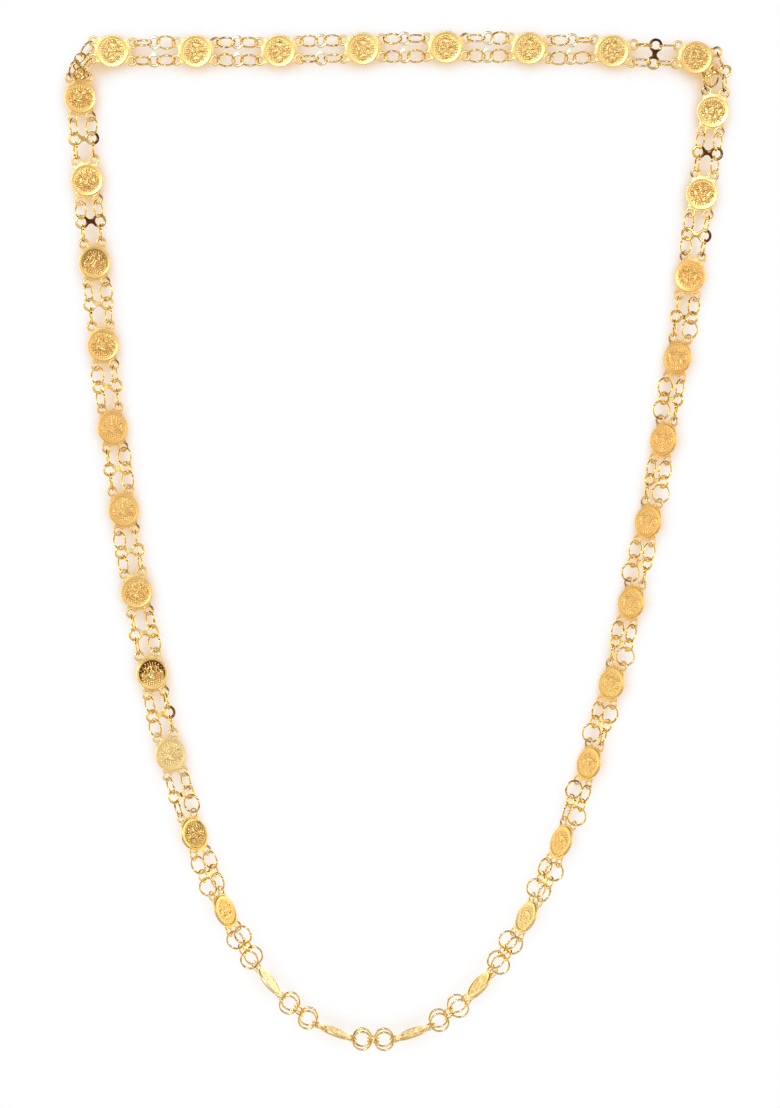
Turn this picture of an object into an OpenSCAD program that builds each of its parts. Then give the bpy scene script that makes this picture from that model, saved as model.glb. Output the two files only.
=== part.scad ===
// Temple necklace: a whole loop of round relief coins, joined at both ends by
// jump rings to small stamped crosspieces, hanging from its straight top row.
// X runs to the right, Y away from the viewer and Z up, in millimetres.
// The origin is the middle of the top row, where the necklace hangs.

/* [Coins] */
// Diameter of a coin
coin_d = 8.5; // [8.3:0.1:8.6]
// Thickness of a coin over its rim
coin_t = 0.9; // [0.8:0.05:1]
// Thickness of a coin inside its rim
field_t = 0.6; // [0.5:0.05:0.7]
// Width of the raised rim
rim_w = 0.42; // [0.3:0.02:0.5]
// Bevel on the outer edges of the rim
rim_bevel = 0.12; // [0.05:0.01:0.2]

/* [Ears] */
// Thickness of the ears and of the web between them
ear_t = 0.36; // [0.3:0.02:0.4]
// Distance of an ear's hole from the coin's centre, along the chain
ear_along = 5.25; // [5.2:0.01:5.3]
// Distance of an ear's hole from the coin's centre, across the chain
ear_across = 2.35; // [2.3:0.01:2.4]
// Radius of an ear
ear_r = 1.45; // [1.4:0.01:1.5]
// Radius of the hole in an ear
ear_hole_r = 0.82; // [0.8:0.01:0.85]
// How far the web reaches from the coin's centre at the middle
web_reach = 5.35; // [5:0.05:5.6]
// Half the web's width
web_half = 3.2; // [3:0.05:3.3]

/* [Figure] */
// Height of the figure's body above the field
figure_h = 0.24; // [0.16:0.02:0.3]
// Radius of the head
head_r = 0.46; // [0.4:0.02:0.5]
// Distance of the head from the coin's centre
head_at = 0.95; // [0.8:0.05:1.1]
// Radius of the halo round the head
halo_r = 1.3; // [1.1:0.05:1.5]
// Radius of the legs, which lie crossed
leg_r = 0.34; // [0.28:0.02:0.4]
// Distance of a knee from the middle of the figure
knee_out = 1.75; // [1.5:0.05:1.9]
// Radius of an arm
arm_r = 0.17; // [0.14:0.01:0.2]
// Radius of the lotus in a raised hand
lotus_r = 0.36; // [0.3:0.02:0.4]
// Petals in the upper row of the lotus seat
petals = 7; // [5:1:8]

/* [Crosspieces] */
// Distance of each loop's centre from the middle of a crosspiece
loop_across = 2.35; // [2.3:0.01:2.4]
// Outer radius of a loop
loop_r = 1.85; // [1.8:0.01:1.9]
// Radius of the hole in a loop
loop_hole_r = 1.22; // [1.2:0.01:1.25]
// Width of the waist between the loops
waist_w = 1.3; // [1:0.05:1.6]
// Thickness of a crosspiece
crosspiece_t = 0.36; // [0.3:0.02:0.4]

/* [Jump rings] */
// Radius of a jump ring, to the middle of its wire
ring_r = 2.4; // [2.38:0.01:2.42]
// Radius of the wire
wire_r = 0.26; // [0.22:0.01:0.27]
// Share of a taut ring's spare reach that is taken up in the coin's ear, along the sides
side_share = 0.28; // [0.26:0.01:0.3]
// The same share along the top row
row_share = 0.32; // [0.3:0.01:0.34]

/* [Hanging loop] */
// Distance between coin centres along each hanging side
side_pitch = 22.15; // [22.1:0.01:22.2]
// Distance between the two lowest coins, along the curve
lowest_gap = 21.3; // [21:0.1:21.4]
// Radius of the curve at its lowest point
curve_r = 28.4; // [28.2:0.1:28.8]
// Sideways place of the lowest point
lowest_x = -4.8; // [-5.5:0.1:-4.5]
// Height of the lowest point
lowest_z = -263.9; // [-264.2:0.1:-263.8]
// Degrees that the hanging curve leans to the left
lean = 1.5; // [1.4:0.1:1.6]
// How far all coins are shifted along the curve, up on the right and down on the left
shift = 0.3; // [0.2:0.05:0.4]
// Distance between coin centres along the top row
row_pitch = 22.24; // [22.2:0.01:22.3]
// Sideways place of the first coin of the top row
row_start = -74; // [-74.1:0.1:-73.9]
// Degrees that the coins of the top row turn their faces down
row_turn = 4; // [0:1:8]

/* [Hidden] */
$fn = 32;
coin_r = coin_d / 2;
field_r = coin_r - rim_w;
field_z = field_t / 2;

// How much larger than a limb its joints are
knuckle = 1.12;
// On a coin, places are [along, across]: the head points along and the arms reach across
// Half of the body's outline, from the seat up to the neck
body_outline = [[-1.1, 0.62], [-0.35, 0.4], [0.3, 0.72], [0.55, 0.62], [0.62, 0.2]];
// The arms on one side, from the shoulder to the hand
lower_arm = [[0.35, 0.6], [-0.2, 1.15], [-0.65, 1.6]];
upper_arm = [[0.4, 0.6], [0.4, 1.6], [1.2, 2.05]];
held_lotus = [1.6, 2.2];
// Crossed legs, from the knee to beyond the middle
knee_along = -0.9;
foot_along = -1.45;
// Crown over the head: width at the bottom, width at the top and height, by the head's radius
crown = [0.9, 0.3, 2.2];
// Rows of petals in the seat: distance from the coin's centre, radius, count
petal_rows = [[2.55, 0.3, petals], [3.15, 0.26, petals + 1]];
seat_arc = 90;
// An elephant at the side, as balls: place along, place across, radius
elephant_balls = [[-0.15, 2.75, 0.55], [0.5, 2.7, 0.34]];
elephant_leg = [[-0.7, 2.5], [-0.95, 2.5]];
elephant_leg_r = 0.16;

// Coins of the top row, from left to right: height, degrees of slope
top_row = [[-0.25, -3], [-0.3, 0], [-0.2, 2], [0.4, 2], [0.8, 0.3], [0.5, -3.5], [-0.3, -6.7], [-2, -8.6]];
// Turn of a coin's face towards the inside of the loop: coin from the top, degrees
left_turns = [[1, 15], [2, 6], [3, 16], [4, 14], [5, 26], [6, 24], [7, 14], [8, 20], [9, 24],
    [10, 44], [11, 60], [12, 82], [13, 88]];
right_turns = [[1, 7], [2, 8], [3, 24], [4, 38], [5, 43], [6, 42], [7, 43], [8, 46], [9, 51],
    [10, 58], [11, 64], [12, 76], [13, 86]];
side_count = len(left_turns);
row_count = len(top_row);
coin_count = row_count + 2 * side_count;

// A crosspiece has the number of the coin behind it, and both count from 0
right_corner = row_count - 1;
left_corner = coin_count - 1;

function coin_name(i) = str("coin_", i < 10 ? "0" : "", i);

// Vectors and places are [x, y, z]
VIEWER = [0, -1, 0];
function unit(v) = v / norm(v);
function square_to(v, axis) = unit(v - axis * (v * axis));
// Turns a place in the hanging curve's own plane by the lean
function leaning(p) = [p[0] * cos(lean) + p[2] * sin(lean), p[1], p[2] * cos(lean) - p[0] * sin(lean)];

// The sides hang in a catenary, where u is the length from the lowest point
function inverse_sinh(x) = ln(x + sqrt(x * x + 1));
function hang(u) = [lowest_x, 0, lowest_z]
    + leaning([curve_r * inverse_sinh(u / curve_r), 0, sqrt(u * u + curve_r * curve_r) - curve_r]);
function hang_along(u) = unit(leaning([curve_r, 0, u]));
function side_length(k) = lowest_gap / 2 + (side_count - k) * side_pitch;

// A plate is [centre, along, across, face]: along runs clockwise round the
// loop, across points out of the loop, and face is the side with the relief
function plate(centre, along, turn) =
    let (out = unit(cross(VIEWER, along)), front = cross(along, out))
    [centre, along, out * cos(turn) + front * sin(turn), front * cos(turn) - out * sin(turn)];

row_coins = [for (i = [0:row_count - 1]) plate([row_start + i * row_pitch, 0, top_row[i][0]],
    [cos(top_row[i][1]), 0, sin(top_row[i][1])], row_turn)];
function side_coin(u, turn) = plate(hang(u), -hang_along(u), turn);
right_coins = [for (k = [1:side_count]) side_coin(shift + side_length(k), lookup(k, right_turns))];
left_coins = [for (k = [side_count:-1:1]) side_coin(shift - side_length(k), lookup(k, left_turns))];
coins = concat(row_coins, right_coins, left_coins);

// The middle of a hole: end is 1 ahead of the coin and -1 behind it, and
// strand is 1 on the outer strand and -1 on the inner one
function ear(coin, end, strand) = coin[0] + end * ear_along * coin[1] + strand * ear_across * coin[2];
function loop(crosspiece, strand) = crosspiece[0] + strand * loop_across * crosspiece[2];

// A crosspiece lies midway between the ears that it joins
function between(a, b) =
    let (outer = (ear(a, 1, 1) + ear(b, -1, 1)) / 2, inner = (ear(a, 1, -1) + ear(b, -1, -1)) / 2)
    let (across = unit(outer - inner), face = square_to(a[3] + b[3], across))
    [(outer + inner) / 2, cross(across, face), across, face];
function next_coin(i) = coins[(i + 1) % coin_count];

// At the two upper corners the chain bends sharply, so the crosspiece there hangs
// askew: middle, direction across, direction of the face
right_askew = [[87.136, 1.11, -5.436], [0.95, -0.304, -0.071], [-0.285, -0.937, 0.202]];
left_askew = [[-82.7, -0.65, -4.445], [0.014, 0.363, 0.932], [-0.322, -0.881, 0.348]];
function askew(pose) =
    let (across = unit(pose[1]), face = square_to(pose[2], across))
    [pose[0], cross(across, face), across, face];
function crosspiece_plate(i) =
    i == right_corner ? askew(right_askew) :
    i == left_corner ? askew(left_askew) :
    between(coins[i], next_coin(i));

// A ring passes through one ear and one loop. It lies in the line between the two
// holes, standing up towards the faces: side 1 bulges forward and -1 back, roll
// turns it about that line, and share is what the ear takes up of a spare reach.
// A ring is [centre, along, up, axis].
function ring(ear_hole, ear_face, loop_hole, loop_face, side, roll, share) =
    let (reach = loop_hole - ear_hole, along = unit(reach),
        face = square_to(ear_face + loop_face, along),
        up = face * cos(roll) + cross(along, face) * sin(roll),
        spare = max(norm(reach) - 2 * ring_r, 0),
        sag = sqrt(max(ring_r * ring_r - reach * reach / 4, 0)))
    [(ear_hole + loop_hole) / 2 + along * spare * (share - 0.5) + up * sag * side,
        along, up, cross(along, up)];

// Degrees of roll of the rings in each gap of the top row, where many lie nearly
// flat. The order is outer behind, outer ahead, inner behind, inner ahead.
row_rolls = [[22, 38, -20, -38], [38, 26, -36, 30], [-30, 30, 24, -28], [38, -28, -32, 36],
    [26, 36, -36, 38], [38, -18, -38, 34], [10, -5, 26, -16]];
// Degrees that rings of the sides may swing to either side, by crosspiece number
ring_swings = [[8, 34], [16, 34], [17, 26], [18, 14], [19, 0], [21, 0], [22, 6], [24, 20],
    [26, 30], [30, 34], [32, 30]];
// Degrees of phase from one ring to the next, so that neighbours swing differently
swing_step = 137.5;
// Side and degrees of roll of the rings at a corner, in the same order as in a gap
right_rings = [[1, 5], [1, -5], [1, -90.4], [1, -15.4]];
left_rings = [[1, -17.3], [1, 5], [-1, -54.1], [1, -12]];
function in_order(rings, end, strand) = rings[(strand > 0 ? 0 : 2) + (end > 0 ? 0 : 1)];
function hold(i, end, strand) =
    i == right_corner ? in_order(right_rings, end, strand) :
    i == left_corner ? in_order(left_rings, end, strand) :
    i < right_corner ? [1, in_order(row_rolls[i], end, strand)] :
    [1, lookup(i, ring_swings) * sin(swing_step * (4 * i + 2 * strand + end))];
function ring_at(i, end, strand) =
    let (coin = end > 0 ? coins[i] : next_coin(i), plate = crosspiece_plate(i),
        held = hold(i, end, strand), share = i < right_corner ? row_share : side_share)
    ring(ear(coin, end, strand), coin[3], loop(plate, strand), plate[3], held[0], held[1], share);

// Places what is drawn in the XY plane on a plate
module on_plate(p) {
    multmatrix([
        [p[1][0], p[2][0], p[3][0], p[0][0]],
        [p[1][1], p[2][1], p[3][1], p[0][1]],
        [p[1][2], p[2][2], p[3][2], p[0][2]]]) children();
}

module mirrored_across() {
    children();
    mirror([0, 1, 0]) children();
}

// A round bar from one place to another, with a larger ball at its far end
module bar(from, to, r) {
    reach = to - from;
    translate(to) sphere(r * knuckle);
    translate(from) rotate([0, acos(reach[2] / norm(reach)), atan2(reach[1], reach[0])])
        cylinder(r = r, h = norm(reach));
}

// A flat-topped limb along a path of [along, across] joints
module limb(path) {
    limb_z = field_z + figure_h / 2;
    for (i = [0:len(path) - 2]) {
        reach = path[i + 1] - path[i];
        translate([path[i][0], path[i][1], 0]) rotate(atan2(reach[1], reach[0]))
            translate([0, -arm_r, 0]) cube([norm(reach), 2 * arm_r, limb_z]);
    }
    for (joint = path) translate([joint[0], joint[1], 0]) cylinder(r = arm_r * knuckle, h = limb_z);
}

// The disc of a coin, with a bevelled rim that stands up on both faces
module disc() {
    difference() {
        union() {
            cylinder(r = coin_r, h = coin_t - 2 * rim_bevel, center = true);
            for (side = [0, 1]) mirror([0, 0, side])
                translate([0, 0, coin_t / 2 - rim_bevel])
                    cylinder(r1 = coin_r, r2 = coin_r - rim_bevel, h = rim_bevel);
        }
        for (side = [0, 1]) mirror([0, 0, side])
            translate([0, 0, field_z]) cylinder(r1 = field_r - rim_bevel, r2 = field_r, h = coin_t);
    }
}

// The ears at one end of a coin, with the hollow-ended web between them
module ear_pair() {
    web_from = coin_r / 2;
    hollow_r = 2 * ear_along;
    linear_extrude(ear_t, center = true) difference() {
        union() {
            mirrored_across() translate([ear_along, ear_across]) circle(ear_r);
            translate([web_from, -web_half]) square([ear_along - web_from, 2 * web_half]);
        }
        translate([web_reach + hollow_r, 0]) circle(hollow_r, $fn = 90);
        mirrored_across() translate([ear_along, ear_across]) circle(ear_hole_r);
    }
}

// A seated four-armed figure, drawn with its head towards +X
module figure() {
    last = len(body_outline) - 1;
    linear_extrude(field_z + figure_h) polygon(concat(
        [for (p = body_outline) [p[0], -p[1]]], [for (i = [last:-1:0]) body_outline[i]]));
    translate([head_at, 0, field_z]) sphere(head_r);
    translate([head_at + head_r / 2, 0, field_z]) rotate([0, 90, 0])
        cylinder(r1 = head_r * crown[0], r2 = head_r * crown[1], h = head_r * crown[2]);
    translate([head_at, 0, 0]) difference() {
        cylinder(r = halo_r + arm_r, h = field_z + figure_h / 3);
        translate([0, 0, -coin_t]) cylinder(r = halo_r - arm_r, h = 3 * coin_t);
    }
    mirrored_across() {
        bar([knee_along, knee_out, field_z], [foot_along, -knee_out / 2, field_z], leg_r);
        limb(lower_arm);
        limb(upper_arm);
        translate([held_lotus[0], held_lotus[1], field_z]) sphere(lotus_r);
    }
}

// A double row of petals, on which the figure sits
module lotus_seat() {
    for (row = petal_rows, i = [0:row[2] - 1])
        rotate(180 + (i - (row[2] - 1) / 2) * seat_arc / petals)
            translate([row[0], 0, field_z]) sphere(row[1]);
}

// An elephant with a raised trunk, which stands on each side
module elephant() {
    for (ball = elephant_balls) translate([ball[0], ball[1], field_z]) sphere(ball[2]);
    bar([elephant_leg[0][0], elephant_leg[0][1], field_z],
        [elephant_leg[1][0], elephant_leg[1][1], field_z], elephant_leg_r);
}

module coin(i) {
    color("gold") on_plate(coins[i - 1]) {
        difference() {
            disc();
            ear_openings();
        }
        for (end = [0, 1]) mirror([end, 0, 0]) ear_pair();
        intersection() {
            union() {
                figure();
                lotus_seat();
                mirrored_across() elephant();
            }
            cylinder(r = field_r, h = coin_t);
        }
    }
}

// Keeps the disc clear of the holes in the ears
module ear_openings() {
    for (end = [0, 1]) mirror([end, 0, 0]) mirrored_across()
        translate([ear_along, ear_across, 0]) cylinder(r = ear_hole_r, h = 2 * coin_t, center = true);
}

// A flat figure eight with a waist
module crosspiece() {
    difference() {
        union() {
            mirrored_across() translate([0, loop_across, 0])
                cylinder(r = loop_r, h = crosspiece_t, center = true);
            cube([waist_w, 2 * loop_across, crosspiece_t], center = true);
        }
        mirrored_across() translate([0, loop_across, 0])
            cylinder(r = loop_hole_r, h = 2 * crosspiece_t, center = true);
    }
}

module crosspieces() {
    color("goldenrod") for (i = [0:coin_count - 1]) on_plate(crosspiece_plate(i)) crosspiece();
}

module jump_ring() {
    rotate_extrude($fn = 48) translate([ring_r, 0]) circle(wire_r, $fn = 16);
}

// All jump rings of one strand, two at each crosspiece
module strand_rings(strand) {
    for (i = [0:coin_count - 1], end = [1, -1]) on_plate(ring_at(i, end, strand)) jump_ring();
}

module outer_rings() {
    color("khaki") strand_rings(1);
}

module inner_rings() {
    color("khaki") strand_rings(-1);
}

for (i = [1:coin_count]) coin(i);
crosspieces();
outer_rings();
inner_rings();
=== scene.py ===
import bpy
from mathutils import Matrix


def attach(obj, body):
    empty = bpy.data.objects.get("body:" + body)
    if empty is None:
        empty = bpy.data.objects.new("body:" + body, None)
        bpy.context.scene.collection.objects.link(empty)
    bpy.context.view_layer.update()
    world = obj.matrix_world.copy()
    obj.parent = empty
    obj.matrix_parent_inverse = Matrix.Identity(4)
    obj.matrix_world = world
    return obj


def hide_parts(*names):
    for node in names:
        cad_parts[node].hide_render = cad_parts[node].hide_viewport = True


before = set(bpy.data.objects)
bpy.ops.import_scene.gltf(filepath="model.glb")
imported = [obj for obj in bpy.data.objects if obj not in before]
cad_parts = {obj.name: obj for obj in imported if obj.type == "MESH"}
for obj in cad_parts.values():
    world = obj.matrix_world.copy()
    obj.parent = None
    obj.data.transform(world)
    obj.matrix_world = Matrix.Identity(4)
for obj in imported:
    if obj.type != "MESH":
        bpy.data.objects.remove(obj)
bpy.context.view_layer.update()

import math

import bmesh
import bpy
from mathutils import Matrix, Vector

# Coins
# Each coin is a gold-plated brass disc struck with a seated, four-armed goddess
# on a lotus between two elephants, under an arch. Its rim stands up on both
# faces, and a web at each end, soldered on, carries two pierced ears.
MM = 0.001
coin_r = 4.25
field_r, field_z = 3.34, 0.3
# The middle of the back, and how much of the relief shows as a hollow in it
back_r, back_z, hollow_share = 3.5, -0.31, 0.7
ear_along, ear_across = 5.25, 2.35
ear_r, ear_hole_r, ear_half = 1.45, 0.82, 0.18
web_half, web_bevel = 0.15, 0.05

# Coins of the top row, from left to right: height, degrees of slope
top_row = [(-0.25, -3), (-0.3, 0), (-0.2, 2), (0.4, 2), (0.8, 0.3), (0.5, -3.5), (-0.3, -6.7), (-2, -8.6)]
row_gaps = len(top_row) - 1
# Degrees that a coin's face turns towards the inside of the loop, from the top down
left_turns = [15, 6, 16, 14, 26, 24, 14, 20, 24, 44, 60, 82, 88]
right_turns = [7, 8, 24, 38, 43, 42, 43, 46, 51, 58, 64, 76, 86]
row_start, row_pitch, row_turn = -74, 22.24, 4
# The sides hang in a catenary: pitch along it, gap across its lowest point, its size and lean
side_pitch, lowest_gap, shift = 22.15, 21.3, 0.3
curve_r, lowest_place, lean = 28.4, Vector((-4.8, 0, -263.9)), math.radians(1.5)
viewer = Vector((0, -1, 0))


def leaning(x, z):
    """A step across and up, as the hanging curve leans: its top a little to the right."""
    return Vector((x * math.cos(lean) + z * math.sin(lean), 0, z * math.cos(lean) - x * math.sin(lean)))


def plate(centre, along, turn):
    """A flat piece's place: centre, along the chain, across it, and out of its face."""
    out = viewer.cross(along).normalized()
    front = along.cross(out)
    c, s = math.cos(math.radians(turn)), math.sin(math.radians(turn))
    return centre, along, out * c + front * s, front * c - out * s


def hanging_coin(u, turn):
    """A coin at the length u from the lowest point of the hanging curve."""
    sag = math.sqrt(u * u + curve_r * curve_r) - curve_r
    centre = lowest_place + leaning(curve_r * math.asinh(u / curve_r), sag)
    return plate(centre, -leaning(curve_r, u).normalized(), turn)


def matrix_of(place):
    """Carries a shape drawn flat in millimetres to its place, in metres."""
    centre, along, across, face = place
    m = Matrix((along, across, face)).transposed().to_4x4()
    m.translation = centre
    return Matrix.Scale(MM, 4) @ m


coins = []
for i, (height, slope) in enumerate(top_row):
    slope = math.radians(slope)
    coins.append(plate(Vector((row_start + i * row_pitch, 0, height)),
                       Vector((math.cos(slope), 0, math.sin(slope))), row_turn))
for k, turn in enumerate(right_turns, 1):
    coins.append(hanging_coin(shift + lowest_gap / 2 + (13 - k) * side_pitch, turn))
for k, turn in reversed(list(enumerate(left_turns, 1))):
    coins.append(hanging_coin(shift - lowest_gap / 2 - (13 - k) * side_pitch, turn))

# The relief of one half, which is mirrored: across, along, half width, half length, height
lumps = [
    (0, 0.98, 0.36, 0.44, 0.40), (0.4, 0.86, 0.13, 0.19, 0.20), (0, 1.5, 0.36, 0.22, 0.34),
    (0, 1.85, 0.28, 0.3, 0.30), (0, 2.3, 0.18, 0.3, 0.26), (0, 2.72, 0.1, 0.26, 0.2),
    (0.34, 2.0, 0.12, 0.3, 0.16), (0, 0.42, 0.62, 0.3, 0.22), (0.27, 0.24, 0.27, 0.27, 0.30),
    (0, -0.25, 0.36, 0.5, 0.22), (0, -0.92, 0.85, 0.42, 0.26), (1.46, 1.72, 0.2, 0.34, 0.28),
    (1.22, 1.66, 0.16, 0.3, 0.22), (1.7, 1.66, 0.16, 0.3, 0.22), (1.46, 2.02, 0.12, 0.16, 0.2),
    (1.45, -0.62, 0.2, 0.17, 0.22), (1.78, -1.1, 0.3, 0.3, 0.3), (2.62, -0.02, 0.56, 0.56, 0.40),
    (2.3, 0.6, 0.36, 0.36, 0.36), (2.6, 0.62, 0.2, 0.28, 0.42), (3.2, 0.35, 0.1, 0.2, 0.16),
    (2.12, 1.5, 0.14, 0.14, 0.2), (2.9, 1.3, 0.16, 0.16, 0.18), (2.45, -1.5, 0.2, 0.2, 0.18),
    (2.95, -1.4, 0.15, 0.15, 0.16), (0.92, 1.16, 0.1, 0.1, 0.14)]
# Limbs and other ridges: start, end, half width, height
ridges = [
    ((0.5, 0.56), (1.2, 0.3), 0.19, 0.24), ((1.2, 0.3), (1.45, 1.34), 0.15, 0.24),
    ((0.55, 0.42), (0.92, -0.26), 0.18, 0.2), ((0.92, -0.26), (1.42, -0.6), 0.14, 0.22),
    ((1.72, -1.1), (0.2, -1.4), 0.32, 0.34), ((2.06, 0.72), (1.86, 1.1), 0.13, 0.28),
    ((1.86, 1.1), (2.08, 1.42), 0.1, 0.24), ((2.42, -0.45), (2.42, -0.9), 0.17, 0.3),
    ((2.86, -0.4), (2.86, -0.84), 0.17, 0.3), ((2.0, -1.12), (3.2, -1.02), 0.12, 0.18),
    ((0, -1.72), (1.9, -1.6), 0.13, 0.2), ((0.62, 2.2), (0.7, 3.0), 0.12, 0.26),
    ((0, 2.6), (0, 3.12), 0.14, 0.24), ((1.3, 2.3), (1.45, 2.8), 0.11, 0.2),
    ((2.1, 1.85), (2.35, 2.2), 0.1, 0.18), ((0.25, 0.74), (0, 0.5), 0.07, 0.3),
    ((0.5, 0.6), (0.12, -0.5), 0.07, 0.28), ((0, -0.46), (0.42, -0.42), 0.09, 0.28)]
# Rows of lotus petals under the figure: radius, degrees between petals, half width,
# half length, height, and the degrees that the row reaches round to each side
petal_rows = [(1.78, 19, 0.26, 0.22, 0.2, 50), (2.2, 15, 0.27, 0.24, 0.24, 54),
              (2.66, 13, 0.28, 0.24, 0.22, 58), (3.16, 11, 0.26, 0.2, 0.16, 66)]
# The halo round the head, and its rays
halo_at, halo_r, halo_reach = 0.98, 1.02, 105
strike = 0.95


def rise(gap, wide, high):
    """Height of a rounded form at a distance from its middle."""
    return high * max(0.0, 1 - (gap / wide) ** 2) ** 0.7


def arc_gap(across, along, centre, radius):
    """Distance from an arc, and the degrees round it from the head end."""
    x, y = across, along - centre
    return abs(math.hypot(x, y) - radius), math.degrees(math.atan2(x, y))


def relief(across, along):
    """Height of the struck relief over the field, in millimetres."""
    side, best = abs(across), 0.0
    for cx, cy, wide, long, high in lumps:
        d = math.hypot((side - cx) / wide, (along - cy) / long)
        if d < 1:
            best = max(best, rise(d, 1, high))
    for (ax, ay), (bx, by), wide, high in ridges:
        dx, dy = bx - ax, by - ay
        t = ((side - ax) * dx + (along - ay) * dy) / (dx * dx + dy * dy)
        t = min(max(t, 0), 1)
        best = max(best, rise(math.hypot(side - ax - t * dx, along - ay - t * dy), wide, high))
    gap, turn = arc_gap(side, along, halo_at, halo_r)
    if turn < halo_reach:
        rays = abs(math.cos(math.radians(turn * 9)))
        best = max(best, rise(gap, 0.1, 0.16), rise(gap, 0.42, 0.07) * rays)
    for radius, petal, wide, long, high, reach in petal_rows:
        gap, turn = arc_gap(side, -along, 0, radius)
        if turn < reach:
            offset = math.radians(petal) * radius * (turn / petal - round(turn / petal))
            best = max(best, rise(math.hypot(gap / long, offset / wide), 1, high))
    return best * strike


def pit(across, along):
    """How far a place lies below what is round it, from 0 to 1."""
    reach, deep = 0.26, 0.07
    round_it = sum(relief(across + dx, along + dy)
                   for dx, dy in ((reach, 0), (-reach, 0), (0, reach), (0, -reach))) / 4
    return min(max((round_it - relief(across, along)) / deep, 0), 1)


def on_disc(x, y):
    """Carries a square from -1 to 1 onto a disc, with cells of one size."""
    if x == 0 and y == 0:
        return 0.0, 0.0
    if abs(x) > abs(y):
        radius, turn = x, math.pi / 4 * y / x
    else:
        radius, turn = y, math.pi / 2 - math.pi / 4 * x / y
    return radius * math.cos(turn), radius * math.sin(turn)


cells = 66
coin_mesh = bmesh.new()
raised = coin_mesh.verts.layers.float.new("raised")
pitted = coin_mesh.verts.layers.float.new("pitted")
bmesh.ops.create_grid(coin_mesh, x_segments=cells, y_segments=cells, size=1)
for v in coin_mesh.verts:
    x, y = on_disc(v.co.x, v.co.y)
    x, y = x * field_r, y * field_r
    high = relief(y, x)
    v[raised] = min(high / 0.24, 1)
    v[pitted] = pit(y, x)
    v.co = (x, y, field_z + high)
# From the field's edge over the rim, round the edge and over the rim of the back: radius, height
for r, z in ((3.42, 0.31), (3.54, 0.34), (3.72, 0.38), (3.9, 0.42), (4.02, 0.44), (4.12, 0.44),
             (4.2, 0.41), (coin_r, 0.34), (coin_r, -0.34), (4.2, -0.42), (4.1, -0.45),
             (3.95, -0.45), (3.8, -0.38), (3.68, back_z)):
    grown = bmesh.ops.extrude_edge_only(coin_mesh, edges=[e for e in coin_mesh.edges if e.is_boundary])
    for v in grown["geom"]:
        if isinstance(v, bmesh.types.BMVert):
            flat = math.hypot(v.co.x, v.co.y)
            v.co = (v.co.x * r / flat, v.co.y * r / flat, z)
            v[raised] = 0.35 if z > 0.33 else 0.6
            v[pitted] = 0
# Striking has sunk the back a little wherever the face is raised
back = bmesh.new()
bmesh.ops.create_grid(back, x_segments=26, y_segments=26, size=1)
for v in back.verts:
    x, y = on_disc(v.co.x, v.co.y)
    x, y = x * back_r, y * back_r
    v.co = (x, y, back_z + hollow_share * relief(y, x))
back_shape = bpy.data.meshes.new("back")
back.to_mesh(back_shape)
back.free()
coin_mesh.from_mesh(back_shape)
bmesh.ops.triangle_fill(coin_mesh, edges=[e for e in coin_mesh.edges if e.is_boundary], use_beauty=True,
                        normal=(0, 0, -1))


def washer(inner, outer, half, steps):
    """A flattened ring round a hole, with a section between round and square."""
    bm = bmesh.new()
    wide, squareness = (outer - inner) / 2, 2.4
    for v in bmesh.ops.create_circle(bm, segments=8, radius=1)["verts"]:
        bulge = (abs(v.co.x) ** squareness + abs(v.co.y) ** squareness) ** (-1 / squareness)
        v.co = (inner + wide + v.co.x * bulge * wide, 0, v.co.y * bulge * half)
    bmesh.ops.spin(bm, geom=bm.verts[:] + bm.edges[:], axis=(0, 0, 1), cent=(0, 0, 0),
                   angle=2 * math.pi, steps=steps, use_merge=True, use_duplicate=False)
    return bm


def thicken(bm, outline, half, bevel):
    """A flat plate from its outline, with the edges of both faces rounded."""
    flat = bm.faces.new([bm.verts.new((x, y, -half)) for x, y in outline])
    grown = bmesh.ops.extrude_face_region(bm, geom=[flat])
    bmesh.ops.translate(bm, vec=(0, 0, 2 * half),
                        verts=[v for v in grown["geom"] if isinstance(v, bmesh.types.BMVert)])
    corners = [e for e in bm.edges if abs(e.verts[0].co.z - e.verts[1].co.z) < 0.01]
    bmesh.ops.bevel(bm, geom=corners, offset=bevel, segments=2, profile=0.5, affect="EDGES", material=-1)


def add(bm, part, matrix):
    """Adds a part, set in its place, to a mesh that is being built."""
    mesh = bpy.data.meshes.new("part")
    part.to_mesh(mesh)
    mesh.transform(matrix)
    bm.from_mesh(mesh)
    bpy.data.meshes.remove(mesh)


ear = washer(ear_hole_r, ear_r, ear_half, 28)
# The web's outline: out from the coin, round each ear within its ring, and the hollow
# end between the ears
web = bmesh.new()
outline, knuckle_r = [(2.6, -3.15)], 1.12
for step in range(8):
    turn = math.radians(226 - step * 18)
    outline.append((ear_along + knuckle_r * math.cos(turn), -ear_across + knuckle_r * math.sin(turn)))
outline += [(4.98, -0.95), (4.74, -0.5), (4.66, 0)]
outline += [(x, -y) for x, y in reversed(outline[:-1])]
thicken(web, outline, web_half, web_bevel)
for half_turn in (0, math.pi):
    end = Matrix.Rotation(half_turn, 4, "Z")
    add(coin_mesh, web, end)
    for side in (1, -1):
        add(coin_mesh, ear, end @ Matrix.Translation((ear_along, side * ear_across, 0)))
raised = coin_mesh.verts.layers.float["raised"]
for v in coin_mesh.verts:
    if abs(v.co.x) > coin_r:
        v[raised] = 0.4
bmesh.ops.recalc_face_normals(coin_mesh, faces=coin_mesh.faces)
for f in coin_mesh.faces:
    f.smooth = True
coin_shape = bpy.data.meshes.new("coin")
coin_mesh.to_mesh(coin_shape)
coin_mesh.free()


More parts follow.
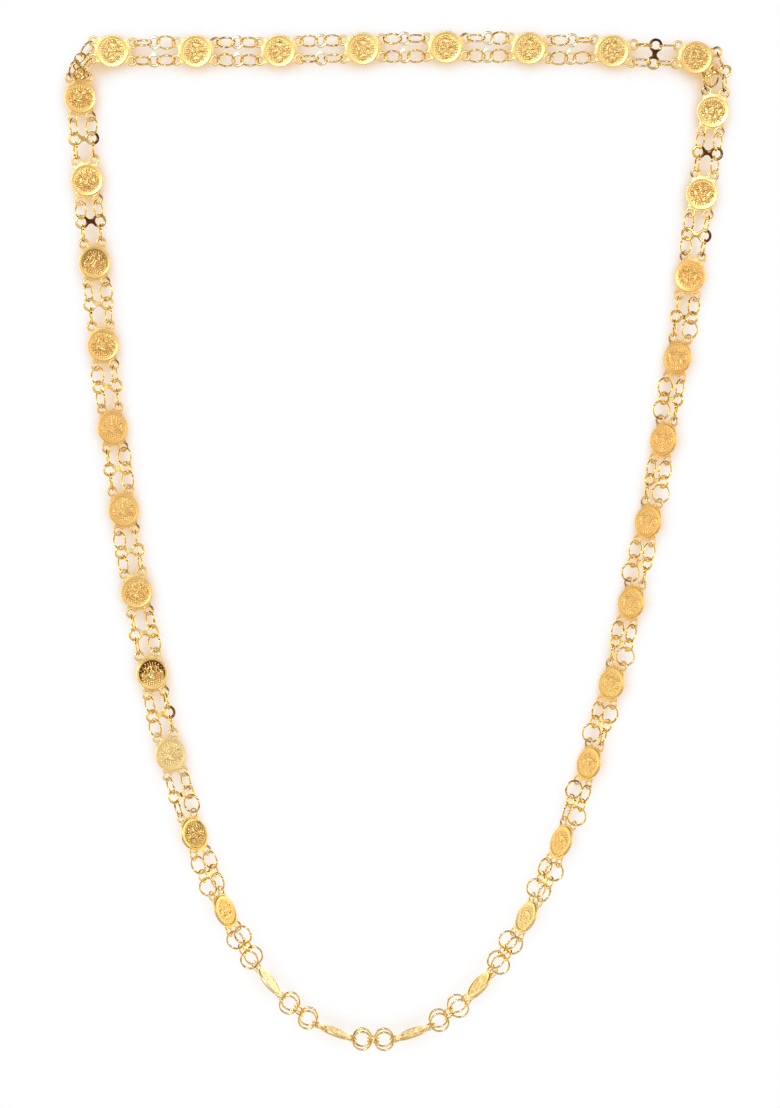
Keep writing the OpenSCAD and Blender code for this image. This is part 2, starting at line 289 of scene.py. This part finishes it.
def gold(name, tones, mottle_scale, rough, grain):
    """Polished gold plate, mottled from deep to bright, with a fine grain."""
    material = bpy.data.materials.new(name)
    material.use_nodes = True
    nodes, links = material.node_tree.nodes, material.node_tree.links
    shader = nodes["Principled BSDF"]
    shader.inputs["Metallic"].default_value = 1.0
    place = nodes.new("ShaderNodeTexCoord")
    mottle = nodes.new("ShaderNodeTexNoise")
    mottle.inputs["Scale"].default_value = mottle_scale
    mottle.inputs["Detail"].default_value = 4
    links.new(place.outputs["Object"], mottle.inputs["Vector"])
    tone = nodes.new("ShaderNodeValToRGB")
    for _ in tones[2:]:
        tone.color_ramp.elements.new(0.5)
    for stop, (position, colour) in zip(tone.color_ramp.elements, tones):
        stop.position, stop.color = position, (*colour, 1)
    links.new(mottle.outputs["Fac"], tone.inputs["Fac"])
    links.new(tone.outputs["Color"], shader.inputs["Base Color"])
    amount = nodes.new("ShaderNodeMapRange")
    amount.inputs["To Min"].default_value = rough[0]
    amount.inputs["To Max"].default_value = rough[1]
    links.new(mottle.outputs["Fac"], amount.inputs["Value"])
    links.new(amount.outputs["Result"], shader.inputs["Roughness"])
    fine = nodes.new("ShaderNodeTexNoise")
    fine.inputs["Scale"].default_value = 2600
    fine.inputs["Detail"].default_value = 3
    links.new(place.outputs["Object"], fine.inputs["Vector"])
    bump = nodes.new("ShaderNodeBump")
    bump.inputs["Strength"].default_value = grain
    bump.inputs["Distance"].default_value = 0.00004
    links.new(fine.outputs["Fac"], bump.inputs["Height"])
    links.new(bump.outputs["Normal"], shader.inputs["Normal"])
    return material, tone


coin_gold, coin_tone = gold("coin_gold", [
    (0.3, (0.95, 0.66, 0.24)), (0.62, (1.0, 0.77, 0.33))],
    420, (0.16, 0.3), 0.35)
nodes, links = coin_gold.node_tree.nodes, coin_gold.node_tree.links
shader = nodes["Principled BSDF"]


def part_of(name, low, high):
    """A factor from 0 to 1 out of what the mesh holds about its relief."""
    held = nodes.new("ShaderNodeAttribute")
    held.attribute_name = name
    spread = nodes.new("ShaderNodeMapRange")
    spread.inputs["From Min"].default_value = low
    spread.inputs["From Max"].default_value = high
    links.new(held.outputs["Fac"], spread.inputs["Value"])
    return spread.outputs["Result"]


def towards(colour, other, factor):
    """A colour mixed with another by a factor."""
    mix = nodes.new("ShaderNodeMix")
    mix.data_type = "RGBA"
    mix.inputs["B"].default_value = (*other, 1)
    links.new(colour, mix.inputs["A"])
    links.new(factor, mix.inputs["Factor"])
    return mix.outputs["Result"]


# The field is bright yellow, the figure a softer tan. Many side coins get a painted tan tone for the warmer
# light their turned faces mirror, and the pits round the relief a painted brown shade, least on a satin
# coin.
# A darker brown lies on parts of the field and, as a painted dark reflection, on some ear edges; a paler
# colour over some whole coins is a painted highlight.
colour = towards(coin_tone.outputs["Color"], (0.99, 0.72, 0.33), part_of("raised", 0.2, 1.0))
# Painted tan tone for the light that the turned faces mirror
colour = towards(colour, (0.96, 0.6, 0.22), part_of("tanned", 0, 1))
# Painted brown shade in the pits round the relief
pit_shade = nodes.new("ShaderNodeMath")
pit_shade.operation = "MULTIPLY"
links.new(part_of("pitted", 0.3, 1.1), pit_shade.inputs[0])
links.new(part_of("satin", 1.25, 0.1), pit_shade.inputs[1])
colour = towards(colour, (0.46, 0.25, 0.06), pit_shade.outputs["Value"])
# Darker brown on parts of the field and a painted dark reflection on ear edges; a painted highlight over
# some whole coins
colour = towards(colour, (0.13, 0.045, 0.01), part_of("dark_and_pale", 0, 1))
colour = towards(colour, (1.0, 0.9, 0.6), part_of("dark_and_pale", 0, -1))
# The die's fine grain of dots, half a millimetre apart, shows on some coins more than on others
place = nodes.new("ShaderNodeTexCoord")
dots = nodes.new("ShaderNodeTexVoronoi")
dots.inputs["Scale"].default_value = 1750
links.new(place.outputs["Object"], dots.inputs["Vector"])
grains = nodes.new("ShaderNodeMath")
grains.operation = "MULTIPLY"
links.new(dots.outputs["Distance"], grains.inputs[0])
links.new(part_of("grained", 0, 1), grains.inputs[1])
stamped = nodes.new("ShaderNodeBump")
stamped.invert = True
stamped.inputs["Strength"].default_value = 0.8
stamped.inputs["Distance"].default_value = 0.00016
links.new(grains.outputs["Value"], stamped.inputs["Height"])
links.new(shader.inputs["Normal"].links[0].from_socket, stamped.inputs["Normal"])
links.new(stamped.outputs["Normal"], shader.inputs["Normal"])
# Painted brown shade in the low places between the dots
shade_between_dots = nodes.new("ShaderNodeMapRange")
shade_between_dots.inputs["From Min"].default_value = 0.36
shade_between_dots.inputs["From Max"].default_value = 0.62
shade_between_dots.inputs["To Max"].default_value = 0.75
links.new(grains.outputs["Value"], shade_between_dots.inputs["Value"])
colour = towards(colour, (0.5, 0.28, 0.07), shade_between_dots.outputs["Result"])
links.new(colour, shader.inputs["Base Color"])
# Some coins have worn to a satin that blurs what they mirror
satin_rough = nodes.new("ShaderNodeMath")
satin_rough.operation = "MULTIPLY_ADD"
satin_rough.inputs[1].default_value = 0.26
links.new(part_of("satin", 0, 1), satin_rough.inputs[0])
links.new(shader.inputs["Roughness"].links[0].from_socket, satin_rough.inputs[2])
links.new(satin_rough.outputs["Value"], shader.inputs["Roughness"])

# How each coin looks, up to and with each number: a painted tan tone, grained, satin, how much of
# the relief is left, and the field gone darker brown or, below 0, the whole coin paler as a painted
# highlight
coin_looks = [
    (7, 0.0, 0.8, 0.7, 1, 0), (8, 0.35, 0.8, 0.75, 1, 0), (9, 0.3, 0.8, 0.35, 1, 0),
    (10, 0.4, 0.8, 0.45, 1, 0), (11, 0.85, 0.7, 1.0, 1, 0), (12, 0.7, 0.22, 1.0, 0.5, 0),
    (13, 0.6, 0.22, 1.0, 0.5, 0), (14, 0.5, 0.22, 1.0, 0.5, 0), (15, 0.4, 0.22, 1.0, 0.5, 0),
    (17, 0.2, 0.22, 1.0, 0.5, 0), (18, 0.1, 0.22, 1.0, 0.5, 0), (19, 0.0, 0.12, 1.0, 0.4, -0.3),
    (20, 0.0, 0.05, 0.6, 0.25, -0.15), (22, 0.0, 0.05, 0.2, 0.25, 0), (23, 0.0, 0.05, 0.8, 0.25, -1.0),
    (24, 0.1, 0.2, 0.8, 0.4, 0), (25, 0.1, 0.5, 0.1, 1, 0.45), (26, 0.0, 0.2, 1.0, 1, -0.36),
    (27, 0.3, 0.0, 0.0, 1, 1.0), (28, 0.4, 0.7, 0.8, 1, 0), (29, 0.5, 0.25, 1.0, 0.6, 0),
    (30, 0.6, 0.2, 1.0, 0.6, 0), (31, 0.6, 0.7, 0.6, 1, 0), (32, 0.6, 0.6, 0.3, 1, 0.6),
    (34, 0.6, 0.8, 0.5, 1, 0)]
raised_there = [held.value for held in coin_shape.attributes["raised"].data]
flat_places = [v.co.copy() for v in coin_shape.vertices]


def limit(value):
    """Kept from 0 to 1."""
    return min(max(value, 0.0), 1.0)


def darkened_field(place, high):
    """1 on the bare field above the figure and in the groove at its sides, 0 elsewhere."""
    out = math.hypot(place.x, place.y)
    if place.z < 0.25 or out > 3.6:
        return 0.0
    bare = limit(1.3 - high / 0.25) if out < 3.35 else 1.0
    beside = limit((abs(place.y) - 1.9) * 1.5) * limit((out - 2.95) / 0.2)
    return bare * max(limit(0.3 + place.x * 0.9), beside * limit(2.2 + place.x))


def ear_edge(place, end, strand):
    """1 along an ear's outer edge by the coin, where a painted dark reflection darkens it."""
    away = Vector((place.x - end * ear_along, place.y - strand * ear_across))
    if away.length >= ear_r + 0.05:
        return 0.0
    return limit((away.y * strand * 0.85 - 0.5 * away.x * end) / ear_r * 4 - 2.0)


def grain_share(place, high, bare):
    """The grain covers the figure, and less strongly the bare field within the rim."""
    return limit((3.3 - place.xy.length) / 0.15) * (place.z > 0.25) * max(bare, limit(high / 0.25))


for number, place in enumerate(coins, 1):
    node = "coin_%02d" % number
    tan, grain, satin, left, brown = next(row[1:] for row in coin_looks if number <= row[0])
    in_row = number <= len(top_row)
    mesh = coin_shape.copy()
    if left < 1:
        for v, flat in zip(mesh.vertices, flat_places):
            if flat.z > field_z and flat.xy.length < field_r + 0.01:
                v.co.z = field_z + (flat.z - field_z) * left
    mesh.transform(matrix_of(place))
    # Which ears carry a painted dark reflection on their edge: end, strand, how much
    painted_dark_ears = [(1, 1, 0.9 if number % 3 == 2 else 0.3)] if in_row else [(-1, -1, 0.9)]
    painted_dark_ears += [(1, 1, 0.8), (-1, 1, 0.6)] if number in (9, 10) else []
    bare = 0.35 if number <= row_gaps else 0.75
    places = list(zip(flat_places, raised_there))
    grained = [grain * grain_share(v, high, bare) for v, high in places]
    # Below 0 the whole coin is painted paler, a painted highlight; above 0 the field darkens, and ear edges
    # carry a painted dark reflection
    dark_and_pale = [brown if brown < 0 else brown * darkened_field(v, high)
               + max(amount * ear_edge(v, end, strand) for end, strand, amount in painted_dark_ears)
               for v, high in places]
    for name, values in (("dark_and_pale", dark_and_pale), ("satin", [satin] * len(places)),
                         ("tanned", [tan] * len(places)), ("grained", grained)):
        mesh.attributes.new(name, "FLOAT", "POINT").data.foreach_set("value", values)
    coin = bpy.data.objects.new(node + "_struck", mesh)
    bpy.context.scene.collection.objects.link(coin)
    coin.data.materials.append(coin_gold)
    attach(coin, "root")
    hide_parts(node)

# Crosspieces
# Small gold-plated figure-eight stampings, one midway between each two coins.
# They keep the two strands apart, and are held only by the rings in their loops.
loop_across, loop_r, loop_hole_r, loop_half = 2.35, 1.85, 1.12, 0.18
waist_half, waist_bevel = 0.16, 0.06
# Those that have turned aside at the two upper corners: centre, across the chain, face
right_askew = (Vector((87.136, 1.11, -5.436)), Vector((0.95, -0.304, -0.071)),
               Vector((-0.285, -0.937, 0.202)))
left_askew = (Vector((-82.7, -0.65, -4.445)), Vector((0.014, 0.363, 0.932)),
              Vector((-0.322, -0.881, 0.348)))


def ear_hole(coin, end, strand):
    """The middle of an ear's hole, at one end of a coin and on one strand."""
    return coin[0] + end * ear_along * coin[1] + strand * ear_across * coin[2]


def squared(v, axis):
    """A direction turned square to an axis."""
    return (v - axis * v.dot(axis)).normalized()


def held_at(centre, across, face):
    """A crosspiece's place, of the same form as a coin's."""
    across = across.normalized()
    face = squared(face, across)
    return centre, across.cross(face), across, face


def between(a, b):
    """The place midway between the ears of two coins."""
    outer = (ear_hole(a, 1, 1) + ear_hole(b, -1, 1)) / 2
    inner = (ear_hole(a, 1, -1) + ear_hole(b, -1, -1)) / 2
    return held_at((outer + inner) / 2, outer - inner, a[3] + b[3])


crosspieces = [between(coins[i], coins[(i + 1) % len(coins)]) for i in range(len(coins))]
right_corner, left_corner = row_gaps, len(coins) - 1
crosspieces[right_corner] = held_at(*right_askew)
crosspieces[left_corner] = held_at(*left_askew)

eight = bmesh.new()
loop = washer(loop_hole_r, loop_r, loop_half, 32)
# The waist flares into both loops: a quarter of its outline is an arc between them
waist = bmesh.new()
hollow_r, hollow_x = 0.984, 1.584
arc = [math.radians(124 + 56 * step / 5) for step in range(6)]
quarter = [(hollow_x + hollow_r * math.cos(turn), hollow_r * math.sin(turn)) for turn in arc]
right_half = quarter + [(x, -y) for x, y in reversed(quarter[:-1])]
outline = right_half + [(-x, -y) for x, y in right_half]
thicken(waist, outline, waist_half, waist_bevel)
add(eight, waist, Matrix())
for side in (1, -1):
    add(eight, loop, Matrix.Translation((0, side * loop_across, 0)))
bmesh.ops.recalc_face_normals(eight, faces=eight.faces)
for f in eight.faces:
    f.smooth = True
eight_shape = bpy.data.meshes.new("eight")
eight.to_mesh(eight_shape)
eight.free()


def joined(name, shape, places, material, node, shade_at):
    """One object from a shape set at many places, each point with its own shade."""
    bm = bmesh.new()
    for place in places:
        mesh = shape.copy()
        mesh.transform(matrix_of(place))
        bm.from_mesh(mesh)
        bpy.data.meshes.remove(mesh)
    mesh = bpy.data.meshes.new(name)
    bm.to_mesh(mesh)
    bm.free()
    piece = bpy.data.objects.new(name, mesh)
    bpy.context.scene.collection.objects.link(piece)
    mesh.materials.append(material)
    held = [shade_at(i, v.co) for i in range(len(places)) for v in shape.vertices]
    mesh.attributes.new("shade", "FLOAT", "POINT").data.foreach_set("value", held)
    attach(piece, "root")
    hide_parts(node)


crosspiece_gold, crosspiece_tone = gold("crosspiece_gold", [
    (0.32, (0.6, 0.28, 0.04)), (0.42, (0.95, 0.6, 0.15)), (0.62, (1.0, 0.78, 0.3))],
    700, (0.08, 0.18), 0.2)
nodes, links = crosspiece_gold.node_tree.nodes, crosspiece_gold.node_tree.links
# The colour carries a painted dark reflection in brown above 0 and a painted highlight in pale gold below 0
colour = towards(crosspiece_tone.outputs["Color"], (0.1, 0.035, 0.01), part_of("shade", 0, 1))
colour = towards(colour, (1.0, 0.94, 0.72), part_of("shade", 0, -1))
links.new(colour, nodes["Principled BSDF"].inputs["Base Color"])
# Painted reflection on the outer loop, the waist and the inner loop of each crosspiece: above 0 a
# painted dark reflection in brown, at a loop's far edge only, and below 0 a painted highlight in pale gold
painted_reflections = {i: (-0.8, -1, -0.4) for i in range(row_gaps - 1)}
painted_reflections.update({6: (1, 1, 0.2), 8: (0.9, 1.3, 0.1), 9: (1.4, 0.35, 0.1), 25: (0, 0, 0.9),
               31: (0.1, 1.1, 0.5), 32: (0, 0.4, 1)})


def crosspiece_painted_reflection(i, place):
    """The painted reflection at a point on a crosspiece, from those of its loops and its waist."""
    outer, middle, inner = painted_reflections.get(i, (0, -0.2, 0))
    out = abs(place.y)
    at_waist = limit((1.4 + 0.3 * abs(middle) - out) / 0.4)
    loop_shade = outer if place.y > 0 else inner
    if loop_shade > 0:
        on_loop = limit((out - 2.5 + 0.25 * max(outer, 0)) / 0.5)
    else:
        on_loop = limit((out - 1.2) / 0.4)
    return middle * at_waist + loop_shade * on_loop


joined("crosspieces_stamped", eight_shape, crosspieces, crosspiece_gold,
       "crosspieces", crosspiece_painted_reflection)

# Jump rings
# Round gold-plated wire bent into a ring and closed end to end. Each one passes
# through an ear of a coin and a loop of a crosspiece, and they make the two strands.
ring_r, wire_r = 2.4, 0.26
# Where a ring's slack lies between its ear and its loop, on the sides and in the top row
side_share, row_share = 0.28, 0.32
# Degrees left open at the butt joint, and round the ring from the loop's end to the joint
joint_gap, joint_turn = 0.8, 70
# Degrees of roll in each gap of the top row: outer behind and ahead, inner behind and ahead
row_rolls = [(22, 38, -20, -38), (38, 26, -36, 30), (-30, 30, 24, -28), (38, -28, -32, 36),
             (26, 36, -36, 38), (38, -18, -38, 34), (10, -5, 26, -16)]
# Degrees that rings of the sides may swing to either side, by gap, and the golden angle
# that spreads them
ring_swings = [(8, 34), (16, 34), (17, 26), (18, 14), (19, 0), (21, 0),
               (22, 6), (24, 20), (26, 30), (30, 34), (32, 30)]
golden = 137.5
# Side and roll of the rings at a corner, in the same order as in a gap
corner_rings = {right_corner: [(1, 5), (1, -5), (1, -90.4), (1, -15.4)],
                left_corner: [(1, -17.3), (1, 5), (-1, -54.1), (1, -12)]}


def swing(i):
    """How far the rings of a gap may swing, between those that are listed."""
    for (a, low), (b, high) in zip(ring_swings, ring_swings[1:]):
        if a <= i <= b:
            return low + (high - low) * (i - a) / (b - a)


def ring_at(i, end, strand):
    """A ring's place in a gap, from its ear to its loop, turned by its roll."""
    coin = coins[i] if end > 0 else coins[(i + 1) % len(coins)]
    cross = crosspieces[i]
    order = (0 if strand > 0 else 2) + (0 if end > 0 else 1)
    if i in corner_rings:
        side, roll = corner_rings[i][order]
    elif i < row_gaps:
        side, roll = 1, row_rolls[i][order]
    else:
        side, roll = 1, swing(i) * math.sin(math.radians(golden * (4 * i + 2 * strand + end)))
    share = row_share if i < row_gaps else side_share
    ear = ear_hole(coin, end, strand)
    loop = cross[0] + strand * loop_across * cross[2]
    reach = (loop - ear).length
    along = (loop - ear).normalized()
    face = squared(coin[3] + cross[3], along)
    up = face * math.cos(math.radians(roll)) + along.cross(face) * math.sin(math.radians(roll))
    spare = max(reach - 2 * ring_r, 0)
    sag = math.sqrt(max(ring_r * ring_r - reach * reach / 4, 0))
    centre = (ear + loop) / 2 + along * spare * (share - 0.5) + up * sag * side
    return centre, along, up, along.cross(up)


wire = bmesh.new()
bmesh.ops.create_circle(wire, segments=8, radius=wire_r,
                        matrix=Matrix.Translation((ring_r, 0, 0)) @ Matrix.Rotation(math.pi / 2, 4, "X"))
bmesh.ops.spin(wire, geom=wire.verts[:] + wire.edges[:], axis=(0, 0, 1), cent=(0, 0, 0),
               angle=math.radians(360 - joint_gap), steps=30, use_duplicate=False)
bmesh.ops.holes_fill(wire, edges=[e for e in wire.edges if e.is_boundary], sides=0)
bmesh.ops.rotate(wire, cent=(0, 0, 0), matrix=Matrix.Rotation(math.radians(joint_turn), 3, "Z"),
                 verts=wire.verts)
bmesh.ops.recalc_face_normals(wire, faces=wire.faces)
for f in wire.faces:
    f.smooth = len(f.verts) == 4
wire_shape = bpy.data.meshes.new("wire")
wire.to_mesh(wire_shape)
wire.free()

ring_gold, ring_tone = gold("ring_gold", [
    (0.33, (0.5, 0.22, 0.03)), (0.43, (0.96, 0.62, 0.15)), (0.64, (1.0, 0.82, 0.36))],
    800, (0.05, 0.14), 0.15)
nodes, links = ring_gold.node_tree.nodes, ring_gold.node_tree.links
# The colour carries a painted dark reflection in brown, by the shade each point holds
colour = towards(ring_tone.outputs["Color"], (0.1, 0.035, 0.01), part_of("shade", 0, 1))
links.new(colour, nodes["Principled BSDF"].inputs["Base Color"])


def ring_painted_dark(i, place):
    """Painted dark reflection in brown where a ring passes through its ear: least in the top row, most on
    the right side; corner rings are also darker over one half.
    """
    gap = i // 2
    most = 0.25 if gap < row_gaps else 0.7 if gap < 17 else 0.25 if gap < 24 else 0.45
    all_round = 0.35 * limit(place.y) if gap in corner_rings else 0
    return all_round + most * math.sin(2.4 * i) ** 2 * limit((-place.x - 1.7) / 0.4)


for strand, node in ((1, "outer_rings"), (-1, "inner_rings")):
    places = [ring_at(i, end, strand) for i in range(len(coins)) for end in (1, -1)]
    joined(node + "_wire", wire_shape, places, ring_gold, node, ring_painted_dark)

# Studio
# A white card close behind the hanging chain, a pale floor, soft panels of light
# and a camera level with the middle of the loop.
card_mesh = bmesh.new()
bmesh.ops.create_grid(card_mesh, x_segments=1, y_segments=1, size=1.5)
card_shape = bpy.data.meshes.new("card")
card_mesh.to_mesh(card_shape)
card_mesh.free()


def paper(name, colour):
    """A dull, even surface."""
    material = bpy.data.materials.new(name)
    material.use_nodes = True
    shader = material.node_tree.nodes["Principled BSDF"]
    shader.inputs["Base Color"].default_value = (*colour, 1)
    shader.inputs["Roughness"].default_value = 0.9
    return material


# The card is lit from within, with a warm shade where the chain lies close over it,
# fainter over its lowest part, and only its front shows
glowing = paper("card_white", (0, 0, 0))
nodes, links = glowing.node_tree.nodes, glowing.node_tree.links
shader = nodes["Principled BSDF"]
shader.inputs["Specular IOR Level"].default_value = 0
shader.inputs["Emission Strength"].default_value = 1
cover = nodes.new("ShaderNodeAmbientOcclusion")
cover.samples = 12
cover.inputs["Distance"].default_value = 0.0096
shade = nodes.new("ShaderNodeValToRGB")
for stop, position, colour in zip(shade.color_ramp.elements, (0.59, 0.785), ((0.77, 0.47, 0.18), (1, 1, 1))):
    stop.position, stop.color = position, (*colour, 1)
links.new(cover.outputs["AO"], shade.inputs["Fac"])
where = nodes.new("ShaderNodeTexCoord")
height = nodes.new("ShaderNodeSeparateXYZ")
links.new(where.outputs["Object"], height.inputs["Vector"])
fainter = nodes.new("ShaderNodeMapRange")
fainter.inputs["From Min"].default_value = -0.17
fainter.inputs["From Max"].default_value = -0.235
fainter.inputs["To Max"].default_value = 0.7
links.new(height.outputs["Z"], fainter.inputs["Value"])
paled = towards(shade.outputs["Color"], (1, 1, 1), fainter.outputs["Result"])
links.new(paled, shader.inputs["Emission Color"])
clear = nodes.new("ShaderNodeBsdfTransparent")
facing = nodes.new("ShaderNodeNewGeometry")
front = nodes.new("ShaderNodeMixShader")
links.new(facing.outputs["Backfacing"], front.inputs["Fac"])
links.new(shader.outputs["BSDF"], front.inputs[1])
links.new(clear.outputs["BSDF"], front.inputs[2])
links.new(front.outputs["Shader"], nodes["Material Output"].inputs["Surface"])

card = bpy.data.objects.new("backdrop", card_shape.copy())
card.data.transform(Matrix.Translation((0, 0.005, -0.134)) @ Matrix.Rotation(math.pi / 2, 4, "X")
                    @ Matrix.Diagonal((0.08, 0.107, 1, 1)))
card.data.materials.append(glowing)
card.visible_glossy = False
floor = bpy.data.objects.new("floor", card_shape.copy())
floor.data.transform(Matrix.Translation((0, -0.9, -0.5)))
pale = paper("floor_pale", (0.9, 0.9, 0.9))
nodes, links = pale.node_tree.nodes, pale.node_tree.links
shader = nodes["Principled BSDF"]
shader.inputs["Emission Color"].default_value = (0.6, 0.63, 0.68, 1)
links.new(nodes.new("ShaderNodeLightPath").outputs["Is Camera Ray"], shader.inputs["Emission Strength"])
floor.data.materials.append(pale)
for o in (card, floor):
    bpy.context.scene.collection.objects.link(o)


def panel(name, place, aim, wide, high, watts):
    """A soft panel of light, turned to what it lights."""
    light = bpy.data.lights.new(name, "AREA")
    light.shape = "RECTANGLE"
    light.size, light.size_y = wide, high
    light.energy = watts
    o = bpy.data.objects.new(name, light)
    o.location = place
    o.rotation_euler = (Vector(aim) - Vector(place)).to_track_quat("-Z", "Y").to_euler()
    bpy.context.scene.collection.objects.link(o)


middle = (0, 0, -0.134)
panel("key_panel", (-0.3, -1.0, 0.35), middle, 0.45, 0.22, 4)
panel("low_panel", (0.25, -0.9, -0.6), middle, 0.5, 0.13, 2)

# The room's light by direction: white in front, warm and brighter to both sides and
# behind, with a narrow dark strip on each side, and dim overhead and underneath
world = bpy.data.worlds.new("studio")
world.use_nodes = True
nodes, links = world.node_tree.nodes, world.node_tree.links
direction = nodes.new("ShaderNodeTexCoord")
parts = nodes.new("ShaderNodeSeparateXYZ")
links.new(direction.outputs["Generated"], parts.inputs["Vector"])


def ramp(socket, low, high, stops):
    """Colours along one part of the direction."""
    spread = nodes.new("ShaderNodeMapRange")
    spread.inputs["From Min"].default_value = low
    spread.inputs["From Max"].default_value = high
    links.new(socket, spread.inputs["Value"])
    tone = nodes.new("ShaderNodeValToRGB")
    for _ in stops[2:]:
        tone.color_ramp.elements.new(0.5)
    for element, (place, colour) in zip(tone.color_ramp.elements, stops):
        element.position, element.color = place, (*colour, 1)
    links.new(spread.outputs["Result"], tone.inputs["Fac"])
    return tone.outputs["Color"]


def times(a, b):
    """One colour multiplied by another."""
    mix = nodes.new("ShaderNodeMix")
    mix.data_type, mix.blend_type = "RGBA", "MULTIPLY"
    mix.inputs["Factor"].default_value = 1
    links.new(a, mix.inputs["A"])
    links.new(b, mix.inputs["B"])
    return mix.outputs["Result"]


def reckoned(operation, *inputs):
    """The result of one operation on numbers and sockets."""
    node = nodes.new("ShaderNodeMath")
    node.operation = operation
    for socket, value in zip(node.inputs, inputs):
        if isinstance(value, (int, float)):
            socket.default_value = value
        else:
            links.new(value, socket)
    return node.outputs["Value"]


white, dark, behind = (0.8, 0.8, 0.8), (0.06, 0.045, 0.03), (1.2, 1.2, 1.15)
warm_left, bright_left, pale_left = (0.84, 0.73, 0.56), (1.5, 1.3, 1.0), (1.9, 1.7, 1.3)
warm_right, bright_right = (1.2, 1.04, 0.8), (1.8, 1.58, 1.2)
# Round the object, from in front by the left, behind and the right to in front
bearing = reckoned("ARCTAN2", parts.outputs["X"], parts.outputs["Y"])
sideways = ramp(bearing, -math.pi, math.pi, [
    (0.0, white), (0.1, white), (0.12, warm_left), (0.152, warm_left), (0.157, dark), (0.177, dark),
    (0.182, warm_left), (0.21, warm_left), (0.26, bright_left), (0.3, bright_left),
    (0.36, pale_left), (0.45, pale_left), (0.47, behind), (0.53, behind),
    (0.55, bright_right), (0.784, bright_right), (0.794, dark), (0.826, dark),
    (0.836, warm_right), (0.88, warm_right), (0.9, white), (1.0, white)])
upward = ramp(parts.outputs["Z"], -1, 1, [
    (0.0, (0.25, 0.2, 0.12)), (0.1, (0.3, 0.24, 0.14)), (0.16, (1.0, 1.0, 1.0)), (0.84, (1.0, 1.0, 1.0)),
    (0.9, (0.25, 0.22, 0.16)), (1.0, (0.12, 0.1, 0.07))])
# What a rounded edge mirrors, above and below and past the object, is dark
steep = reckoned("GREATER_THAN", reckoned("ABSOLUTE", parts.outputs["Z"]), 0.42)
past = ramp(parts.outputs["Y"], -1, 1, [
    (0.0, (1, 1, 1)), (0.42, (1, 1, 1)), (0.47, (0.1, 0.085, 0.045)), (0.88, (0.1, 0.085, 0.045)),
    (0.92, (1, 1, 1)), (1.0, (1, 1, 1))])
edge_light = nodes.new("ShaderNodeMix")
edge_light.data_type = "RGBA"
edge_light.inputs["A"].default_value = (1, 1, 1, 1)
links.new(past, edge_light.inputs["B"])
links.new(steep, edge_light.inputs["Factor"])
links.new(times(times(sideways, upward), edge_light.outputs["Result"]), nodes["Background"].inputs["Color"])
nodes["Background"].inputs["Strength"].default_value = 1.06
# Behind the object, wherever the camera stands, the room is plain white
plain = nodes.new("ShaderNodeBackground")
plain.inputs["Color"].default_value = (1, 1, 1, 1)
seen = nodes.new("ShaderNodeLightPath")
either = nodes.new("ShaderNodeMixShader")
links.new(seen.outputs["Is Camera Ray"], either.inputs["Fac"])
links.new(nodes["Background"].outputs["Background"], either.inputs[1])
links.new(plain.outputs["Background"], either.inputs[2])
links.new(either.outputs["Shader"], nodes["World Output"].inputs["Surface"])
bpy.context.scene.world = world
bpy.context.scene.view_settings.view_transform = "Standard"

camera = bpy.data.objects.new("camera", bpy.data.cameras.new("camera"))
camera.data.lens = 100
camera.data.sensor_width = 36
camera.location = (0, -0.821, -0.1344)
camera.rotation_euler = (math.pi / 2, 0, 0)
bpy.context.scene.collection.objects.link(camera)
bpy.context.scene.camera = camera
